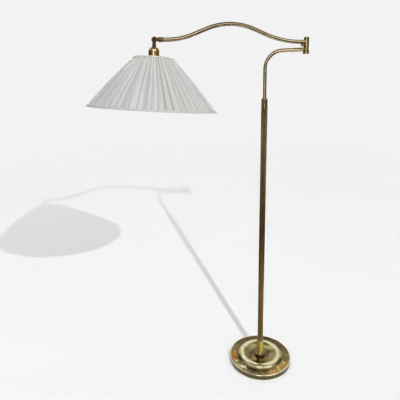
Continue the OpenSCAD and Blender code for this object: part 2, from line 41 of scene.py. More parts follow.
def add_object(name, data):
    """A new object in the scene, made of a mesh, a light or a camera."""
    o = bpy.data.objects.new(name, data)
    SCENE.collection.objects.link(o)
    return o


# camera: its place, angles and focal length come from a fit to the photograph's outlines
YAW, PITCH, ROLL = math.radians(-10.0229), math.radians(16.2676), math.radians(-1.7860)
EYE_Y, EYE_Z = -1.59406, 1.30049
FOCAL_PX, PICTURE_PX, SENSOR_MM = 369.717, 400, 36
ahead = Vector((math.sin(YAW) * math.cos(PITCH), math.cos(YAW) * math.cos(PITCH), -math.sin(PITCH)))
side = Vector((math.cos(YAW), -math.sin(YAW), 0))
up = side.cross(ahead)
cam_x = side * math.cos(ROLL) + up * math.sin(ROLL)
cam_y = up * math.cos(ROLL) - side * math.sin(ROLL)
cam = add_object("camera", bpy.data.cameras.new("camera"))
cam.data.sensor_width = SENSOR_MM
cam.data.lens = FOCAL_PX / PICTURE_PX * SENSOR_MM
cam.data.clip_end = 200
cam.matrix_world = Matrix((
    (cam_x.x, cam_y.x, -ahead.x, 0.0),
    (cam_x.y, cam_y.y, -ahead.y, EYE_Y),
    (cam_x.z, cam_y.z, -ahead.z, EYE_Z),
    (0, 0, 0, 1)))
SCENE.camera = cam

# node trees
# sockets of a Mix node for colours: its share, its two colours, and among its outputs the mixed colour
MIX_SHARE, MIX_A, MIX_B, MIX_RESULT = 0, 6, 7, 2


class Tree:
    """Short calls to add and join nodes."""

    def __init__(self, tree):
        self.t = tree

    def add(self, kind, **props):
        n = self.t.nodes.new(kind)
        for k, v in props.items():
            setattr(n, k, v)
        return n

    def put(self, socket, value):
        """Join the socket to value if that is a socket too, else set it to value."""
        if isinstance(value, bpy.types.NodeSocket):
            self.t.links.new(value, socket)
        else:
            socket.default_value = value

    def mix(self, share, a, b):
        n = self.add("ShaderNodeMix", data_type="RGBA")
        self.put(n.inputs[MIX_SHARE], share)
        for i, v in ((MIX_A, a), (MIX_B, b)):
            self.put(n.inputs[i], v if isinstance(v, bpy.types.NodeSocket) else (*v, 1))
        return n.outputs[MIX_RESULT]

    def math(self, op, a, b=0.5):
        n = self.add("ShaderNodeMath", operation=op)
        self.put(n.inputs[0], a)
        self.put(n.inputs[1], b)
        return n.outputs[0]

    def measure(self, op, a, b=(0, 0, 0)):
        """A number got from one or two vectors, such as a length or a dot product."""
        n = self.add("ShaderNodeVectorMath", operation=op)
        self.put(n.inputs[0], a)
        self.put(n.inputs[1], b)
        return n.outputs["Value"]

    def xyz(self, vector):
        n = self.add("ShaderNodeSeparateXYZ")
        self.put(n.inputs[0], vector)
        return tuple(n.outputs)

    def span(self, value, a, b, c=0.0, d=1.0):
        """value carried over from a..b to c..d, and held at the ends."""
        n = self.add("ShaderNodeMapRange", clamp=True)
        self.put(n.inputs["Value"], value)
        for k, v in (("From Min", a), ("From Max", b), ("To Min", c), ("To Max", d)):
            n.inputs[k].default_value = v
        return n.outputs["Result"]

    def band(self, value, rise, fall):
        """0 to 1 over the span rise, and back to 0 over the span fall."""
        return self.math("MULTIPLY", self.span(value, *rise), self.span(value, *fall, 1.0, 0.0))

    def seen(self):
        """1 for camera, glossy and transmission rays, 0 for all others."""
        ray = self.add("ShaderNodeLightPath").outputs
        first = self.math("MAXIMUM", ray["Is Camera Ray"], ray["Is Glossy Ray"])
        return self.math("MAXIMUM", first, ray["Is Transmission Ray"])


class Material(Tree):
    """A new material with a Principled shader."""

    def __init__(self, name):
        self.m = bpy.data.materials.new(name)
        self.m.use_nodes = True
        super().__init__(self.m.node_tree)
        self.b = next(n for n in self.t.nodes if n.type == "BSDF_PRINCIPLED")
        self.out = next(n for n in self.t.nodes if n.type == "OUTPUT_MATERIAL")
        self.obj = self.add("ShaderNodeTexCoord").outputs["Object"]

    def noise(self, scale, detail=4, rough=0.55, vec=None, distort=0.0):
        n = self.add("ShaderNodeTexNoise")
        self.put(n.inputs["Vector"], vec or self.obj)
        for k, v in (("Scale", scale), ("Detail", detail), ("Roughness", rough), ("Distortion", distort)):
            n.inputs[k].default_value = v
        return n.outputs["Fac"]

    def stretch(self, scale, turn=(0, 0, 0)):
        """Object coordinates turned back by turn, then scaled, for grain that runs along a turned axis."""
        n = self.add("ShaderNodeMapping", vector_type="TEXTURE")
        self.put(n.inputs["Vector"], self.obj)
        n.inputs["Scale"].default_value = [1 / k for k in scale]
        n.inputs["Rotation"].default_value = turn
        return n.outputs["Vector"]

    def occlusion(self, distance, inside=False):
        n = self.add("ShaderNodeAmbientOcclusion", samples=6, inside=inside, only_local=True)
        n.inputs["Distance"].default_value = distance
        return n.outputs["AO"]

    def attribute(self, name):
        return self.add("ShaderNodeAttribute", attribute_name=name).outputs

    def bump(self, layers):
        """layers: (height socket, distance in metres); each is laid on the one before."""
        last = None
        for height, distance in layers:
            n = self.add("ShaderNodeBump")
            n.inputs["Strength"].default_value = 1
            n.inputs["Distance"].default_value = distance
            self.put(n.inputs["Height"], height)
            if last:
                self.put(n.inputs["Normal"], last)
            last = n.outputs["Normal"]
        self.put(self.b.inputs["Normal"], last)

    def set(self, **values):
        for k, v in values.items():
            self.put(self.b.inputs[k.replace("_", " ")], v)


# brass
CORNER, EDGE = 0.004, 0.0005    # how far dirt reaches out of a corner, and wear over an edge
SATIN = 0.38                    # roughness that a place gains where its satin mask is full


def brass(name, light, tarnish, patina, rough, grain, turn=(0, 0, 0), zones=None,
          cloud=(17, 17, 17), metal=1.0, wavy=0.0001):
    """Aged brass: tarnish in clouds, brown patina in the corners, worn light edges, fine drawn scratches.

    rough is the roughness where it is clean and where it is tarnished. cloud and grain are the scales of
    the clouds and the scratches along x, y and z, per metre, and turn turns both. zones is a function that
    changes the colour from place to place, and wavy is the height of slow waves in metres."""
    n = Material(name)
    clouds = n.noise(1, 8, 0.6, vec=n.stretch(cloud, turn), distort=0.4)
    scratches = n.noise(1, 3, 0.7, vec=n.stretch(grain, turn))
    mottle = n.span(n.noise(160, 5, 0.6), 0.35, 0.75, 0.0, 0.28)
    dirt = n.span(n.occlusion(CORNER), 0.25, 0.85, 0.75, 0.0)
    wear = n.span(n.occlusion(EDGE, inside=True), 0.35, 0.8, 0.5, 0.0)
    wear = n.math("MULTIPLY", wear, n.span(n.noise(60, 3), 0.4, 0.6))
    colour = n.mix(n.span(clouds, 0.44, 0.66), light, tarnish)
    satin_mask = None
    if zones:
        colour, satin_mask = zones(n, colour, clouds)
    colour = n.mix(mottle, colour, patina)
    colour = n.mix(n.span(scratches, 0.55, 0.8, 0.0, 0.05 if zones else 0.25), colour, light)
    colour = n.mix(dirt, colour, patina)
    colour = n.mix(wear, colour, [min(1, c * 1.12) for c in light])
    roughness = n.math("ADD", n.span(clouds, 0.3, 0.7, *rough), n.math("MULTIPLY", scratches, 0.06))
    roughness = n.math("ADD", roughness, n.math("MULTIPLY", dirt, 0.3))
    if satin_mask:
        roughness = n.math("ADD", roughness, n.math("MULTIPLY", satin_mask, SATIN))
    n.set(Base_Color=colour, Metallic=metal, Roughness=roughness)
    pits = n.span(n.noise(420, 2, 0.5), 0.66, 0.78)
    n.bump([(scratches, 0.000012), (pits, -0.000015), (n.noise(9, 2), wavy)])
    return n.m


# zones of the base, as radii and a height in metres: each fades in or out over its span
DISH_OUT = (0.074, 0.084)
TROUGH_IN, TROUGH_OUT = (0.098, 0.112), (0.1425, 0.1465)
SATIN_IN = (0.098, 0.110)
REFLECTION_RING_IN, REFLECTION_RING_OUT = (0.118, 0.126), (0.138, 0.143)
WALL_IN, WALL_TOP = (0.1475, 0.1498), (0.0195, 0.0225)
# painted reflections in the trough, orange and near white: direction and half width in degrees, and colour
PAINTED_REFLECTIONS = (
    (-43, 23, (1.0, 0.70, 0.26)),
    (190, 15, (0.80, 0.42, 0.08)),
    (222, 11, (1.0, 0.96, 0.80)))


def base_zones(n, colour, clouds):
    """High, handled places of the base stay polished; the dish and the trough are brown and olive, as patina
    and as painted dark reflection, and the wall is painted dark as painted shade.

    Three patches in the trough are painted reflections, orange and near white, which also turn satin."""
    x, y, z = n.xyz(n.obj)
    flat = n.add("ShaderNodeCombineXYZ")
    n.put(flat.inputs[0], x)
    n.put(flat.inputs[1], y)
    flat = flat.outputs[0]
    r = n.measure("LENGTH", flat)
    ragged = n.math("ADD", r, n.math("MULTIPLY", n.math("SUBTRACT", clouds, 0.5), 0.012))
    haze = n.noise(16, 5, 0.6, distort=0.8)
    brown = n.mix(n.span(clouds, 0.42, 0.6), (0.13, 0.085, 0.05), (0.20, 0.145, 0.085))
    olive = n.span(n.math("ADD", haze, n.span(r, 0.03, 0.08, 0.0, 0.22)), 0.50, 0.72)
    # the dish is brown and olive: patina and painted dark reflection
    dish = n.span(ragged, *DISH_OUT, 1.0, 0.0)
    colour = n.mix(dish, colour, n.mix(olive, brown, (0.44, 0.39, 0.18)))
    # the trough is toned dark: patina and painted dark reflection
    trough = n.band(ragged, TROUGH_IN, TROUGH_OUT)
    toned = n.mix(n.span(haze, 0.42, 0.62), (0.14, 0.09, 0.045), (0.34, 0.28, 0.13))
    colour = n.mix(trough, colour, toned)
    crumbs = n.noise(60, 3, 0.5, distort=0.4)
    crumbled = n.math("MULTIPLY", n.math("SUBTRACT", crumbs, 0.5), 0.05)
    ring = n.band(n.math("ADD", r, crumbled), REFLECTION_RING_IN, REFLECTION_RING_OUT)
    satin_mask = n.math("MULTIPLY", n.span(ragged, *SATIN_IN), n.span(ragged, *TROUGH_OUT, 0.24, 0.0))
    # painted reflections: orange and near-white patches in the trough, which also turn satin
    for angle, half, tint in PAINTED_REFLECTIONS:
        angle = math.radians(angle)
        cosine = n.math("DIVIDE", n.measure("DOT_PRODUCT", flat, (math.cos(angle), math.sin(angle), 0)), r)
        cosine = n.math("ADD", cosine, n.math("MULTIPLY", crumbled, 5.0))
        outer, inner = math.cos(math.radians(half + 5)), math.cos(math.radians(half - 5))
        place = n.math("MULTIPLY", ring, n.span(cosine, outer, inner))
        deep = (tint[0] * 0.45, tint[1] * 0.30, tint[2] * 0.15)
        colour = n.mix(place, colour, n.mix(n.span(crumbs, 0.44, 0.58), deep, tint))
        satin_mask = n.math("MAXIMUM", satin_mask, n.math("MULTIPLY", place, 0.7))
    # painted shade: the upright wall is painted dark, standing in for the shaded floor that it mirrors at
    # its foot
    wall = n.math("MULTIPLY", n.span(r, *WALL_IN), n.span(z, *WALL_TOP, 1.0, 0.0))
    return n.mix(wall, colour, (0.13, 0.095, 0.045)), satin_mask


def ferrule_painted_shade(n, colour, clouds):
    """The side away from the swing joint is painted a darker brown as painted shade; the side towards it
    keeps the bright brass.
    """
    x = n.xyz(n.obj)[0]
    edge = n.math("ADD", x, n.math("MULTIPLY", n.math("SUBTRACT", clouds, 0.5), 0.012))
    return n.mix(n.span(edge, -0.005, 0.005), (0.50, 0.38, 0.05), colour), None


def tube_zones(n, colour, _clouds):
    """The column is more golden towards its foot and more olive towards its top."""
    z = n.xyz(n.obj)[2]
    colour = n.mix(n.span(z, 0.12, 0.6, 0.8, 0.0), colour, (0.28, 0.175, 0.05))
    return n.mix(n.span(z, 0.6, 1.05, 0.0, 0.7), colour, (0.33, 0.28, 0.15)), None


ARM_TURN = math.radians(24)     # the arm's direction, from the line through column and swing joint
BROWN = (0.06, 0.038, 0.018)
BRASS = {
    "brass_tube": dict(
        light=(0.42, 0.29, 0.14), tarnish=(0.23, 0.145, 0.065), patina=BROWN, rough=(0.12, 0.24),
        grain=(900, 900, 14), zones=tube_zones, cloud=(70, 70, 5)),
    "brass_arm": dict(
        light=(0.54, 0.46, 0.31), tarnish=(0.38, 0.31, 0.20), patina=BROWN, rough=(0.08, 0.14),
        grain=(14, 900, 900), turn=(0, 0, ARM_TURN), cloud=(5, 40, 40)),
    "brass_stem": dict(
        light=(0.55, 0.46, 0.30), tarnish=(0.38, 0.30, 0.18), patina=BROWN, rough=(0.08, 0.14),
        grain=(300, 900, 14), cloud=(7, 40, 7)),
    "brass_small": dict(
        light=(0.68, 0.54, 0.30), tarnish=(0.40, 0.29, 0.14), patina=BROWN, rough=(0.1, 0.2),
        grain=(500, 500, 500)),
    "brass_dark": dict(
        light=(0.24, 0.165, 0.10), tarnish=(0.12, 0.075, 0.04), patina=(0.04, 0.024, 0.012),
        rough=(0.14, 0.26), grain=(500, 500, 500)),
    "brass_cup": dict(
        light=(0.95, 0.79, 0.48), tarnish=(0.72, 0.56, 0.28), patina=BROWN, rough=(0.1, 0.2),
        grain=(500, 500, 60)),
    "brass_bright": dict(
        light=(1.0, 0.86, 0.27), tarnish=(0.95, 0.74, 0.16), patina=(0.20, 0.13, 0.03),
        rough=(0.14, 0.24), grain=(600, 600, 30), zones=ferrule_painted_shade, cloud=(40, 40, 9), metal=0.45),
    "brass_base": dict(
        light=(0.97, 0.95, 0.72), tarnish=(0.82, 0.81, 0.52), patina=(0.24, 0.20, 0.10),
        rough=(0.07, 0.15), grain=(300, 300, 300), zones=base_zones, wavy=0.0006),
    "brass_beads": dict(
        light=(0.60, 0.47, 0.22), tarnish=(0.32, 0.23, 0.09), patina=(0.07, 0.04, 0.015),
        rough=(0.12, 0.22), grain=(400, 400, 400)),
}
M = {name: brass(name, **look) for name, look in BRASS.items()}


# other solid materials
def plain(name, colours, patches, rough, grain, bumps, contrast=None, metal=0.0):
    """Two colours in patches, a roughness that varies between the two values of rough, and small bumps.

    patches, grain and the first entry of each bump are settings of a noise: scale, detail and roughness.
    contrast is the part of the patches' noise over which the colours change, where it isn't all of it."""
    n = Material(name)
    tone = n.noise(*patches)
    if contrast:
        tone = n.span(tone, *contrast)
    n.set(Base_Color=n.mix(tone, *colours), Metallic=metal)
    n.set(Roughness=n.span(n.noise(*grain), 0.3, 0.7, *rough))
    n.bump([(n.noise(*height), distance) for height, distance in bumps])
    return n


def scattering(n, weight, radius, scale):
    n.b.inputs["Subsurface Weight"].default_value = weight
    n.b.inputs["Subsurface Radius"].default_value = radius
    n.b.inputs["Subsurface Scale"].default_value = scale


M["wire"] = plain(
    "wire", ((0.80, 0.80, 0.77), (0.62, 0.60, 0.54)), (70, 5), contrast=(0.4, 0.7),
    rough=(0.3, 0.5), grain=(200, 3), bumps=[((500, 3), 0.00006)]).m
M["cast_iron"] = plain(
    "cast_iron", ((0.035, 0.034, 0.034), (0.09, 0.085, 0.08)), (60, 6), metal=0.6,
    rough=(0.5, 0.75), grain=(200, 4), bumps=[((350, 6, 0.7), 0.0004), ((60, 3), 0.0006)]).m
M["nylon"] = plain(
    "nylon", ((0.022, 0.02, 0.019), (0.05, 0.046, 0.042)), (120, 3),
    rough=(0.34, 0.5), grain=(300, 3), bumps=[((900, 2), 0.00004)]).m
M["holder"] = plain(
    "holder", ((0.80, 0.77, 0.66), (0.70, 0.64, 0.50)), (45, 6), contrast=(0.35, 0.7),
    rough=(0.22, 0.38), grain=(150, 3), bumps=[((600, 2), 0.00003)]).m
n = plain(
    "opal_glass", ((0.86, 0.86, 0.83), (0.80, 0.80, 0.77)), (30, 3),
    rough=(0.06, 0.14), grain=(40, 2), bumps=[((25, 2), 0.0001)])
scattering(n, 0.35, (1, 0.9, 0.8), 0.004)
M["opal_glass"] = n.m

n = Material("steel")
brushed = n.noise(1, 3, 0.6, vec=n.stretch((700, 700, 40)))
n.set(Base_Color=n.mix(n.noise(40, 4), (0.50, 0.50, 0.50), (0.62, 0.62, 0.60)), Metallic=1.0)
n.set(Roughness=n.span(brushed, 0.3, 0.7, 0.22, 0.4))
n.bump([(brushed, 0.00003)])
M["steel"] = n.m

n = Material("felt")
n.set(Base_Color=n.mix(n.noise(90, 6, 0.7), (0.035, 0.075, 0.05), (0.07, 0.13, 0.09)))
n.set(Roughness=0.95, Sheen_Weight=0.4)
n.bump([(n.noise(700, 6, 0.75), 0.0005)])
M["felt"] = n.m


def cloth(name, pale, shaded, warm, yarns):
    """Thin woven cotton: crossed yarns in the bump, slubs and toned patches in the colour.

    It reads three attributes of the mesh: weave, the place on the flat cloth; tone, how far it has
    yellowed; and how deep the cloth lies between the pleats, which darkens the valleys as painted shade."""
    n = Material(name)
    weave = n.attribute("weave")["Vector"]
    along, down, _ = n.xyz(weave)
    warp = n.math("SINE", n.math("MULTIPLY", along, yarns * 2.2))
    weft = n.math("SINE", n.math("MULTIPLY", down, yarns * 2.0))
    crossed = n.math("MAXIMUM", n.math("MULTIPLY", warp, 0.8), weft)
    drawn_out = n.add("ShaderNodeMapping")
    n.put(drawn_out.inputs["Vector"], weave)
    drawn_out.inputs["Scale"].default_value = (900, 24, 1)
    slub = n.noise(1, 3, 0.6, vec=drawn_out.outputs[0])
    crumple = n.noise(38, 3, 0.5)
    clouds = n.noise(5.5, 4, 0.55)
    colour = n.mix(n.span(clouds, 0.38, 0.66), pale, shaded)
    colour = n.mix(n.attribute("tone")["Fac"], colour, warm)
    colour = n.mix(n.span(slub, 0.5, 0.8, 0.0, 0.16), colour, [c * 0.86 for c in pale])
    # painted shade: the colour darkens where the cloth lies deep between the pleats
    painted_fold_shade = n.math("MULTIPLY", n.attribute("fold_shade")["Fac"], 0.66)
    colour = n.mix(painted_fold_shade, colour, [c * 0.5 for c in shaded])
    n.set(Base_Color=colour, Roughness=n.span(crumple, 0.3, 0.7, 0.72, 0.9))
    n.set(Specular_IOR_Level=0.15, Sheen_Weight=0.08, Sheen_Roughness=0.5)
    scattering(n, 0.15, (1, 0.95, 0.85), 0.002)
    n.bump([(crossed, 0.00003), (slub, 0.00012), (crumple, 0.0005)])
    return n.m


M["cloth"] = cloth("cloth", (0.79, 0.785, 0.745), (0.71, 0.725, 0.725), (0.67, 0.625, 0.535), 2600.0)
M["tape"] = cloth("tape", (0.73, 0.735, 0.71), (0.66, 0.68, 0.685), (0.68, 0.64, 0.56), 3400.0)

# material of each CAD node; the nodes that aren't named here are steel
LOOK = {
    "base_cover": "brass_base", "foot_collar": "brass_beads", "foot_ferrule": "brass_bright",
    "foot_ring": "brass_beads", "outer_tube": "brass_tube", "top_ferrule": "brass_tube",
    "lock_collar": "brass_tube", "stem_tube": "brass_stem", "lower_knuckle": "brass_small",
    "pin_cap": "brass_small", "upper_knuckle": "brass_small", "arm_tube": "brass_arm",
    "arm_fork": "brass_dark", "tilt_screw": "brass_dark", "tilt_nut": "brass_dark",
    "head_tongue": "brass_dark", "socket_cup": "brass_cup", "socket_shell": "brass_cup",
    "base_weight": "cast_iron", "socket_core": "holder", "shade_ring": "holder",
    "bulb_glass": "opal_glass", "shade_frame": "wire", "cord_bush": "nylon", "collet": "nylon",
    "guide_bush": "nylon", "swing_washer": "nylon", "neck_ring": "nylon",
}

# smooth shading of the CAD nodes
WELD = 0.000008
SMOOTH_BELOW = math.radians(24)
AS_THEY_ARE = ("shade_cover", "shade_frame", "foot_collar")


def smoother():
    """Geometry nodes: weld the seams between faces, and shade smooth where they meet at a small angle."""
    g = Tree(bpy.data.node_groups.new("smooth_by_angle", "GeometryNodeTree"))
    g.t.interface.new_socket("Geometry", in_out="INPUT", socket_type="NodeSocketGeometry")
    g.t.interface.new_socket("Geometry", in_out="OUTPUT", socket_type="NodeSocketGeometry")
    last = g.add("NodeGroupInput").outputs[0]
    for name in ("custom_normal", "sharp_face", "sharp_edge"):
        removed = g.add("GeometryNodeRemoveAttribute")
        g.put(removed.inputs["Name"], name)
        g.put(removed.inputs["Geometry"], last)
        last = removed.outputs["Geometry"]
    weld = g.add("GeometryNodeMergeByDistance")
    g.put(weld.inputs["Distance"], WELD)
    g.put(weld.inputs["Geometry"], last)
    flat_enough = g.add("FunctionNodeCompare", operation="LESS_THAN")
    g.put(flat_enough.inputs[0], g.add("GeometryNodeInputMeshEdgeAngle").outputs[0])
    g.put(flat_enough.inputs[1], SMOOTH_BELOW)
    shaded = g.add("GeometryNodeSetShadeSmooth", domain="EDGE")
    g.put(shaded.inputs["Geometry"], weld.outputs["Geometry"])
    g.put(shaded.inputs["Shade Smooth"], flat_enough.outputs[0])
    g.put(g.add("NodeGroupOutput").inputs[0], shaded.outputs[0])
    return g.t


SMOOTH = smoother()
for name, o in NODES.items():
    o.data.materials.clear()
    o.data.materials.append(M[LOOK.get(name, "steel")])
    if name not in AS_THEY_ARE:
        o.modifiers.new("smooth", "NODES").node_group = SMOOTH


# making meshes
def make(name, verts, faces, material, body, attrs=None):
    """A smooth piece with its point attributes, riding on a body."""
    me = bpy.data.meshes.new(name)
    me.from_pydata([tuple(v) for v in verts], [], [tuple(int(i) for i in f) for f in faces])
    me.materials.append(M[material])
    me.polygons.foreach_set("use_smooth", [True] * len(me.polygons))
    for key, values in (attrs or {}).items():
        values = np.asarray(values, np.float32)
        kind = "FLOAT" if values.ndim == 1 else "FLOAT_VECTOR"
        at = me.attributes.new(key, kind, "POINT")
        at.data.foreach_set("value" if kind == "FLOAT" else "vector", values.ravel())
    me.update()
    o = add_object(name, me)
    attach(o, body)
    return o


def full_turn(count):
    """count angles, evenly spread round the circle."""
    return np.linspace(0, 2 * np.pi, count, endpoint=False)


def ring_points(radius, angle, z):
    """Points round the z axis, one for each angle; radius and z may vary from point to point."""
    return np.stack([radius * np.cos(angle), radius * np.sin(angle), z + 0 * angle], 1)


def ring_faces(rows, cols, loop=False):
    """Quads of a grid of rows by cols points, closed round cols, and round rows too if loop."""
    f = []
    for j in range(rows if loop else rows - 1):
        a, b = j * cols, ((j + 1) % rows) * cols
        for i in range(cols):
            k = (i + 1) % cols
            f.append((a + i, a + k, b + k, b + i))
    return f


def smooth_noise(count, waves, seed):
    """Noise in -1..1 that closes round the circle and has up to so many waves in it."""
    g = np.random.default_rng(seed)
    t = full_turn(count)
    out = np.zeros(count)
    for k in range(1, waves + 1):
        out += g.normal() * np.cos(k * t + g.uniform(0, 2 * np.pi))
    return out / (np.abs(out).max() + 1e-9)


# The head's frame, as in the CAD: origin on the tilt axis, x outwards along the arm, -z down the shade
REACH, ARM_L, TILT_Z, TILT = 0.156, 0.591, 1.48124, math.radians(5)
HEAD = (Matrix.Translation((REACH, 0, 0)) @ Matrix.Rotation(math.pi + ARM_TURN, 4, "Z")
        @ Matrix.Translation((ARM_L, 0, TILT_Z)) @ Matrix.Rotation(-TILT, 4, "Y"))
HEAD_R = np.array(HEAD.to_3x3())
HEAD_T = np.array(HEAD.translation)


def to_head(p):
    return np.asarray(p) @ HEAD_R.T + HEAD_T


# the gathered shade: heights below the tilt axis and radii of its two edges, and how far its side bows out
TOP_H, LOW_H, TOP_R, LOW_R, BOW = 0.0606, 0.237, 0.070, 0.234, 0.005
PLEATS, D_TOP, D_LOW = 60, 0.0022, 0.0036    # number of pleats, and their depth at either edge
SHADE_COLS, SHADE_ROWS = 1920, 40
GATHERS = 260
CLOTH_T = 0.0005
OUT, UP = 0.73, 0.69                         # the side's normal, about
CLOTH_PER_RADIAN, CLOTH_DOWN = 0.28, 0.245   # cloth used up round the shade and down its side
YELLOWED_AT = math.radians(107)


def side_r(u):
    """Radius of the shade at the share u of the way down."""
    return TOP_R + (LOW_R - TOP_R) * u + BOW * 4 * u * (1 - u)


def u_of(h):
    return (h - TOP_H) / (LOW_H - TOP_H)


def sind(x):
    return np.sin(np.radians(x))


def pleat_edges():
    """Angle and depth of the ridges and valleys, as in the CAD solid."""
    i = np.arange(2 * PLEATS)
    a = (i + 0.2 * sind(i * 97 + 20)) * 180 / PLEATS
    d = np.where(i % 2 == 1, 1.0, 0.2 * (1 + sind(i * 61)))
    return np.radians(a), d


def pleat_relief(theta, g):
    """For each angle, how much of a ridge it is, and how deep it lies as a share of the pleats' depth."""
    edge_a, edge_d = pleat_edges()
    valley_a, ridge_a, ridge_d = edge_a[1::2], edge_a[0::2], edge_d[0::2]
    # pleat k runs from valley k-1 over ridge k to valley k, and s from 0 to 1 with it
    left = np.roll(valley_a, 1)
    left[0] -= 2 * np.pi
    k = np.searchsorted(valley_a, theta, side="left")
    wrap = k == PLEATS
    k = np.where(wrap, 0, k)
    th = np.where(wrap, theta - 2 * np.pi, theta)
    s = np.where(th < ridge_a[k], 0.5 * (th - left[k]) / (ridge_a[k] - left[k]),
                 0.5 + 0.5 * (th - ridge_a[k]) / (valley_a[k] - ridge_a[k]))
    s = np.clip(s, 0, 1)
    breadth = g.uniform(0.38, 0.75, PLEATS)[k]
    ridge = np.sin(np.pi * s) ** breadth
    valley_d = 0.72 + 0.4 * g.random(PLEATS)
    valley_depth = np.where(s < 0.5, np.roll(valley_d, 1)[k], valley_d[k])
    return ridge, ridge_d[k] * ridge + valley_depth * (1 - ridge)


def draw_gathers(g):
    """Finer gathers between the pleats. Each starts at an edge and runs part or all of the way."""
    drawn = []
    for _ in range(GATHERS):
        angle = g.uniform(0, 2 * np.pi)
        from_top = g.random() < 0.6
        drift = g.normal() * 0.012
        width = g.uniform(0.005, 0.012)
        depth = g.uniform(0.3, 0.95)
        reach = g.uniform(0.35, 1.3)
        g.uniform()    # a spare draw, which keeps the later ones as they are
        drawn.append((angle, from_top, drift, width, depth, reach))
    return drawn


def gather_relief(gathers, theta, u):
    """How deep the finer gathers are at each angle, at the share u of the way down."""
    relief = np.zeros(len(theta))
    for angle, from_top, drift, width, depth, reach in gathers:
        far = u if from_top else 1 - u
        fade = min(1.0, max(0.0, (reach - far) / 0.25))
        if fade <= 0:
            continue
        off = (theta - angle - drift * u + np.pi) % (2 * np.pi) - np.pi
        near = np.abs(off) < 0.06
        relief[near] += depth * fade * np.exp(-(off[near] / width) ** 2)
    return relief


def grid_area(p):
    """Area of a grid of points that is closed round its columns, as two triangles for each quad."""
    nxt = np.roll(p, -1, axis=1)
    a1 = np.linalg.norm(np.cross(nxt[:-1] - p[:-1], p[1:] - p[:-1]), axis=2).sum() / 2
    a2 = np.linalg.norm(np.cross(nxt[1:] - nxt[:-1], p[1:] - nxt[:-1]), axis=2).sum() / 2
    return float(a1 + a2)


def shade():
    """The gathered cloth, as a closed skin, and the area of its outer side."""
    rows, cols = SHADE_ROWS, SHADE_COLS
    g = np.random.default_rng(5)
    theta = full_turn(cols)
    ridge, pleat = pleat_relief(theta, g)
    gathers = draw_gathers(g)
    pts, weave, fold_shade = [], [], []
    for u in np.linspace(0, 1, rows):
        # the cloth lies flatter where it is sewn to the hoops
        ends = math.exp(-u * 22) + math.exp(-(1 - u) * 26)
        depth = (D_TOP + (D_LOW - D_TOP) * u + 0.0006) * (1 - 0.25 * ends)
        fine = np.minimum(gather_relief(gathers, theta, u), 1.3)
        inset = depth * np.clip(pleat * 0.95 + 0.62 * fine * (1 - 0.5 * pleat), 0, 1.15)
        belly = 0.0007 * math.sin(math.pi * u)
        sway = 0.0016 * np.sin(9 * theta + 3.1 * u) * math.sin(math.pi * u)
        radius = side_r(u) + belly * ridge - inset - 0.0005 * ends
        pts.append(ring_points(radius, theta + sway, -(TOP_H + (LOW_H - TOP_H) * u)))
        weave.append(np.stack([theta * CLOTH_PER_RADIAN, 0 * theta + u * CLOTH_DOWN, 0 * theta], 1))
        # how deep the cloth lies between the pleats, for the painted shade in the valleys
        fold_shade.append(np.clip((inset / depth - 0.3) / 0.7, 0, 1))
    outer = np.concatenate(pts)
    radial = outer.copy()
    radial[:, 2] = 0
    radial /= np.linalg.norm(radial, axis=1)[:, None]
    inner = outer - radial * CLOTH_T * OUT - np.array([0, 0, 1]) * CLOTH_T * UP
    for edge in (slice(None, cols), slice(-cols, None)):
        inner[edge] = outer[edge] - radial[edge] * CLOTH_T
    n_out = rows * cols
    low = n_out - cols
    faces = [f[::-1] for f in ring_faces(rows, cols)]
    faces += [tuple(i + n_out for i in f) for f in ring_faces(rows, cols)]
    for i in range(cols):
        j = (i + 1) % cols
        faces.append((i, i + n_out, j + n_out, j))
        faces.append((low + j, low + j + n_out, low + i + n_out, low + i))
    # a few pleats have yellowed, to the right on the side that faces the viewer
    streak = 0.35 + 0.65 * (np.sin(theta * 47 + 1.0) > -0.2)
    yellowed = np.clip((np.cos(theta - YELLOWED_AT) - 0.955) / 0.03, 0, 1) * streak * 0.6
    fold_shade = np.concatenate(fold_shade)
    attrs = {"weave": np.tile(np.concatenate(weave), (2, 1)), "fold_shade": np.concatenate([fold_shade, 1 - fold_shade]),
             "tone": np.tile(yellowed, 2 * rows)}
    verts = to_head(np.concatenate([outer, inner]))
    o = make("shade_cloth", verts, faces, "cloth", "head", attrs=attrs)
    return o, grid_area(outer.reshape(rows, cols, 3))


cloth_obj, cloth_area = shade()
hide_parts("shade_cover")

# tapes over the shade's edges, and their stitches
TAPE_COLS = 720
HOOP_TOP_R, HOOP_LOW_R = 0.06637, 0.22389    # radii of the wire hoops, which the tapes reach in under
TAPE_GAP, TAPE_T = 0.0005, 0.0011
TOP_TAPE_H, LOW_TAPE_H = 0.0044, 0.006
STITCH_SIDES, STITCH_RINGS = 6, 5
THREAD_R, THREAD_LIFT, THREAD_LEAN = 0.00032, 0.00022, 0.0004
SIDE_SLOPE = 0.9    # how far a stitch goes down for each metre that it stands out


def profile_loop(points, per):
    """Closed polyline with per points on each side, so that a revolve of it can be bent."""
    out = []
    for p, q in zip(points, points[1:] + points[:1]):
        for k in range(per):
            out.append((p[0] + (q[0] - p[0]) * k / per, p[1] + (q[1] - p[1]) * k / per))
    return np.array(out)


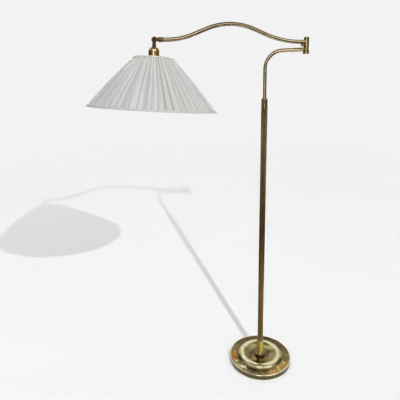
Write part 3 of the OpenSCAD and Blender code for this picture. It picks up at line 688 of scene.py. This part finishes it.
def tape(name, points, wave, seed, node):
    """A woven tape sewn over an edge: a revolved band that follows the gathers a little."""
    prof = profile_loop(points, 3)
    theta = full_turn(TAPE_COLS)
    ripple = wave * (0.6 * smooth_noise(TAPE_COLS, 90, seed) + 0.4 * smooth_noise(TAPE_COLS, 34, seed + 1))
    mean_r = prof[:, 0].mean()
    run = np.concatenate([[0], np.cumsum(np.linalg.norm(np.diff(prof, axis=0), axis=1))])
    pts, weave = [], []
    for (r, z), along in zip(prof, run):
        # the side that shows ripples, and the side on the hoop hardly does
        push = ripple * (1.0 if r > mean_r - 0.0015 else 0.3)
        pts.append(ring_points(r + push - wave * 0.4, theta, z + 0.125 * ripple))
        weave.append(np.stack([theta * mean_r, 0 * theta + along, 0 * theta], 1))
    none = np.zeros(len(prof) * TAPE_COLS)
    attrs = {"weave": np.concatenate(weave), "fold_shade": none, "tone": none}
    o = make(name, to_head(np.concatenate(pts)), ring_faces(len(prof), TAPE_COLS, True), "tape", "head",
             attrs=attrs)
    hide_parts(node)
    return o


def top_profile():
    """Round the shade's upper edge, from the cloth's face down, out, up and in to the hoop."""
    upper = side_r(0) - 0.0002
    lower = side_r(u_of(TOP_H + TOP_TAPE_H)) - 0.0002
    hoop = HOOP_TOP_R - 0.0006
    top = -TOP_H
    end = top - TOP_TAPE_H
    return [(upper - 0.0004, top - 0.0003), (lower - 0.0004, end), (lower + 0.0002, end - 0.0001),
            (lower + 0.0006, end + 0.0008), (upper + 0.0009, top - 0.0006), (upper + 0.0004, top + 0.0006),
            (upper - 0.0008, top + 0.0011), (hoop, top + 0.0011), (hoop, top + 0.00035),
            (upper - 0.0012, top + 0.00035)]


def low_profile():
    """Round the shade's lower edge, from the cloth's face in to the hoop, down, out and up."""
    lower = side_r(1) + TAPE_GAP - 0.0002
    upper = side_r(u_of(LOW_H - LOW_TAPE_H)) + TAPE_GAP
    hoop = HOOP_LOW_R - 0.0006
    low = -LOW_H
    end = low + LOW_TAPE_H
    return [(lower, low - 0.00035), (hoop, low - 0.00035), (hoop, low - 0.0011),
            (lower + TAPE_T - 0.0009, low - 0.0011), (lower + TAPE_T, low), (upper + TAPE_T, end - 0.0006),
            (upper + TAPE_T * 0.8, end + 0.0001), (upper, end)]


def stitches(name, drop, proud, pitch, size, seed):
    """A row of small hand stitches round a tape, each a rounded thread lying along it.

    The row is drop below the tilt axis and proud of the shade's side."""
    g = np.random.default_rng(seed)
    radius = side_r(u_of(drop)) + proud
    count = int(2 * math.pi * radius / pitch)
    verts, faces = [], []
    for s in range(count):
        middle = 2 * math.pi * s / count + g.normal() * 0.0006 / radius
        length = size * (1 + 0.15 * g.normal())
        base = len(verts)
        for j in range(STITCH_RINGS):
            f = j / (STITCH_RINGS - 1)
            a = middle + (f - 0.5) * length / radius
            w = THREAD_R * math.sin(math.pi * (0.12 + 0.76 * f))
            lift = THREAD_LIFT * math.sin(math.pi * f)
            for k in range(STITCH_SIDES):
                q = 2 * math.pi * k / STITCH_SIDES
                r = radius + lift + w * math.cos(q)
                z = -drop + w * math.sin(q) + (f - 0.5) * THREAD_LEAN - SIDE_SLOPE * lift
                verts.append((r * math.cos(a), r * math.sin(a), z))
        for j in range(STITCH_RINGS - 1):
            one, two = base + j * STITCH_SIDES, base + (j + 1) * STITCH_SIDES
            for k in range(STITCH_SIDES):
                m = (k + 1) % STITCH_SIDES
                faces.append((one + k, one + m, two + m, two + k))
        last = base + (STITCH_RINGS - 1) * STITCH_SIDES
        faces.append(tuple(base + k for k in range(STITCH_SIDES))[::-1])
        faces.append(tuple(last + k for k in range(STITCH_SIDES)))
    none = np.zeros(len(verts))
    return make(name, to_head(verts), faces, "tape", "head",
                attrs={"weave": np.zeros((len(verts), 3)), "fold_shade": none, "tone": none})


top_tape = tape("top_tape", top_profile(), 0.0011, 21, "top_trim")
low_tape = tape("low_tape", low_profile(), 0.0003, 31, "bottom_trim")
st_top = stitches("top_stitches", TOP_H + 0.0032, 0.0006, 0.0042, 0.0026, 41)
st_low = stitches("low_stitches", LOW_H - 0.0046, TAPE_GAP + TAPE_T + 0.00015, 0.0046, 0.0028, 43)

# felt under the base: radius and height of its section, from the hole over the underside to the top
FELT_COLS = 360
FELT_SECTION = (
    (0.004, 0.0), (0.05, 0.0), (0.10, 0.0), (0.14, 0.0), (0.1464, 0.0), (0.1469, 0.0005), (0.147, 0.0012),
    (0.1468, 0.0019), (0.1462, 0.00235), (0.14, 0.00235), (0.004, 0.00235))
FRAYED_FROM = 0.143


def felt():
    theta = full_turn(FELT_COLS)
    fray = 0.00035 * smooth_noise(FELT_COLS, 120, 61) - 0.0003
    pts = [ring_points(r + (fray if r > FRAYED_FROM else 0), theta, z) for r, z in FELT_SECTION]
    faces = [f[::-1] for f in ring_faces(len(FELT_SECTION), FELT_COLS, True)]
    o = make("felt_pad", np.concatenate(pts), faces, "felt", "stand")
    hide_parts("base_felt")
    return o


felt_obj = felt()

# stage: floor, cards, light
KEY = Vector((0.726, -1.557, 2.158))
BACKGROUND = 0.890                                 # the picture's grey, behind the floor
FLOOR_FAR, FLOOR_NEAR = 0.889, 0.918               # brightness that the floor is to show
FLOOR_REACH, FLOOR_Z = 60, -0.0004
FADE_FROM, FADE_TO = 5.0, 11.0
WHITENESS, AMBIENT, KEY_SHARE = 0.85, 0.448, 0.457  # the floor's colour, and the light that falls on it


def floor_material():
    """A floor that looks evenly bright, yet takes shadows.

    For the camera and for mirrors it is a lit surface, plus a glow of what the light leaves short of the
    wanted brightness. For the light that it throws back on the lamp it is a plain pale surface."""
    n = Material("stage_floor")
    n.t.nodes.remove(n.b)
    place = n.add("ShaderNodeNewGeometry").outputs["Position"]
    away = n.measure("DISTANCE", place, (KEY.x, KEY.y, 0))
    slant = n.math("SQRT", n.math("ADD", n.math("POWER", away, 2.0), KEY.z ** 2))
    fade = n.span(away, FADE_FROM, FADE_TO, 1.0, 0.0)
    falling = n.math("ADD", n.math("MULTIPLY", n.math("DIVIDE", KEY.z, slant), KEY_SHARE), AMBIENT)
    lit = n.math("MULTIPLY", n.math("MULTIPLY", falling, WHITENESS), fade)
    glow = n.add("ShaderNodeEmission")
    glow.inputs["Color"].default_value = (1, 1, 1, 1)
    n.put(glow.inputs["Strength"], n.math("SUBTRACT", n.span(fade, 0.0, 1.0, FLOOR_FAR, FLOOR_NEAR), lit))
    surface = n.add("ShaderNodeBsdfDiffuse")
    n.put(surface.inputs["Color"], n.mix(fade, (0, 0, 0), (WHITENESS, WHITENESS, WHITENESS)))
    both = n.add("ShaderNodeAddShader")
    n.put(both.inputs[0], glow.outputs[0])
    n.put(both.inputs[1], surface.outputs[0])
    pale = n.add("ShaderNodeBsdfDiffuse")
    pale.inputs["Color"].default_value = (0.72, 0.72, 0.71, 1)
    pick = n.add("ShaderNodeMixShader")
    n.put(pick.inputs[0], n.seen())
    n.put(pick.inputs[1], pale.outputs[0])
    n.put(pick.inputs[2], both.outputs[0])
    n.put(n.out.inputs["Surface"], pick.outputs[0])
    return n.m


def rectangle(name, width, height, material):
    w, h = width / 2, height / 2
    me = bpy.data.meshes.new(name)
    me.from_pydata([(-w, -h, 0), (w, -h, 0), (w, h, 0), (-w, h, 0)], [], [(0, 1, 2, 3)])
    me.materials.append(material)
    return add_object(name, me)


def aim_at(o, centre, aim, axis):
    """Put the object at centre and turn its axis towards the point aim."""
    o.location = centre
    o.rotation_mode = "QUATERNION"
    o.rotation_quaternion = (Vector(aim) - Vector(centre)).to_track_quat(axis, "Y")


floor = rectangle("stage_floor", 2 * FLOOR_REACH, 2 * FLOOR_REACH, floor_material())
floor.location.z = FLOOR_Z


def card(name, centre, aim, width, height, colour, strength=1.0):
    """A studio card that shows in reflections only. It hangs outside the picture and faces the point aim."""
    m = bpy.data.materials.new(name)
    m.use_nodes = True
    m.node_tree.nodes.clear()
    n = Tree(m.node_tree)
    glow = n.add("ShaderNodeEmission")
    glow.inputs["Color"].default_value = (*colour, 1)
    glow.inputs["Strength"].default_value = strength
    n.put(n.add("ShaderNodeOutputMaterial").inputs["Surface"], glow.outputs[0])
    o = rectangle(name, width, height, m)
    aim_at(o, centre, aim, "Z")
    o.visible_camera = o.visible_diffuse = o.visible_shadow = o.visible_volume_scatter = False


FLAG, SIDE = (0.13, 0.10, 0.065), (0.07, 0.055, 0.04)
WHITE = (1.0, 0.97, 0.92)
ROOM = (0.58, 0.53, 0.43)
# behind the lamp, high up: the dish and the trough reflect these
card("card_back", (0, 3.0, 2.6), (0, 0, 1.6), 2.6, 2.1, (0.78, 0.75, 0.64))
card("card_ceiling", (0, 1.9, 3.6), (0, 0, 1.4), 6.0, 1.7, (1.0, 0.97, 0.86))
# both sides and the front: the edges and the middle tones of the upright tubes
card("card_left", (-3.2, 0.6, 1.65), (0, 0.6, 1.5), 4.4, 1.5, SIDE)
card("card_right", (3.2, 0.6, 1.65), (0, 0.6, 1.5), 4.4, 1.5, SIDE)
card("card_front", (0, -3.5, 1.2), (0, 0, 1.2), 4.6, 2.4, (0.15, 0.13, 0.08))
card("card_front_left", (-2.8, -2.3, 1.4), (0, 0, 1.4), 3.0, 2.8, (0.11, 0.09, 0.055))
card("card_front_right", (2.8, -2.3, 1.05), (0, 0, 1.05), 3.0, 2.1, (0.18, 0.155, 0.10))
# over the base: what its ring reflects from straight above
card("flag_top", (-0.15, 0.02, 1.78), (-0.15, 0.02, 0), 1.2, 1.05, (0.22, 0.19, 0.12))
# the lights that metal shows: an upright strip, its hood, and a high panel far to the right
card("strip", (-0.04, -3.3, 1.9), (-0.04, 0, 1.9), 0.9, 3.0, WHITE, 2.5)
card("hood", (-0.02, -2.75, 4.1), (0, 0, 1.4), 1.6, 1.7, WHITE, 1.5)
card("panel_right", (3.5, -3.6, 4.2), (0, 0, 1.4), 3.6, 3.2, WHITE, 2.6)
# flags on the floor, round the base: x, y, width, depth and strength
FLOOR_FLAGS = (
    (0, 2.3, 5.6, 3.2, 1), (-1.8, -0.3, 2.0, 2.0, 1), (1.8, -0.3, 2.0, 2.0, 1),
    (0, -3.8, 7.0, 5.0, 1.8), (-0.42, -0.73, 1.1, 1.1, 1.6))
for i, (x, y, width, depth, strength) in enumerate(FLOOR_FLAGS):
    card("flag_%d" % i, (x, y, 0.001), (x, y, 1), width, depth, FLAG, strength)


def softbox(name, centre, aim, size, power):
    light = bpy.data.lights.new(name, "AREA")
    light.shape = "SQUARE"
    light.size = size
    light.energy = power
    o = add_object(name, light)
    aim_at(o, centre, aim, "-Z")
    o.visible_glossy = False


def key_light():
    """A small lamp without falloff, which casts the crisp shadows."""
    light = bpy.data.lights.new("key", "POINT")
    light.energy = 18
    light.shadow_soft_size = 0.012
    light.use_nodes = True
    n = Tree(light.node_tree)
    falloff = n.add("ShaderNodeLightFalloff")
    falloff.inputs["Strength"].default_value = 1.0
    emission = next(x for x in n.t.nodes if x.type == "EMISSION")
    n.put(emission.inputs["Strength"], falloff.outputs["Constant"])
    o = add_object("key", light)
    o.location = KEY
    o.visible_glossy = False


def room_light():
    """The world: a pale sky that lights, the picture's grey to look at, and a dimmer room for mirrors."""
    world = bpy.data.worlds.new("world")
    SCENE.world = world
    world.use_nodes = True
    world.node_tree.nodes.clear()
    n = Tree(world.node_tree)
    sky = n.add("ShaderNodeBackground")
    sky.inputs["Color"].default_value = (0.975, 0.985, 1.0, 1)
    sky.inputs["Strength"].default_value = 0.40
    shown = n.add("ShaderNodeBackground")
    mirrored = n.add("ShaderNodeLightPath").outputs["Is Glossy Ray"]
    n.put(shown.inputs["Color"], n.mix(mirrored, (BACKGROUND, BACKGROUND, BACKGROUND), ROOM))
    shown.inputs["Strength"].default_value = 1.0
    pick = n.add("ShaderNodeMixShader")
    n.put(pick.inputs[0], n.seen())
    n.put(pick.inputs[1], sky.outputs[0])
    n.put(pick.inputs[2], shown.outputs[0])
    n.put(n.add("ShaderNodeOutputWorld").inputs["Surface"], pick.outputs[0])


key_light()
softbox("softbox_left", (-1.9, -2.2, 2.5), (-0.2, 0, 1.0), 1.6, 8)
softbox("softbox_top", (0.2, -0.4, 3.6), (0, 0, 1.0), 1.6, 4.5)
room_light()

bpy.context.scene.view_settings.view_transform = "Standard"
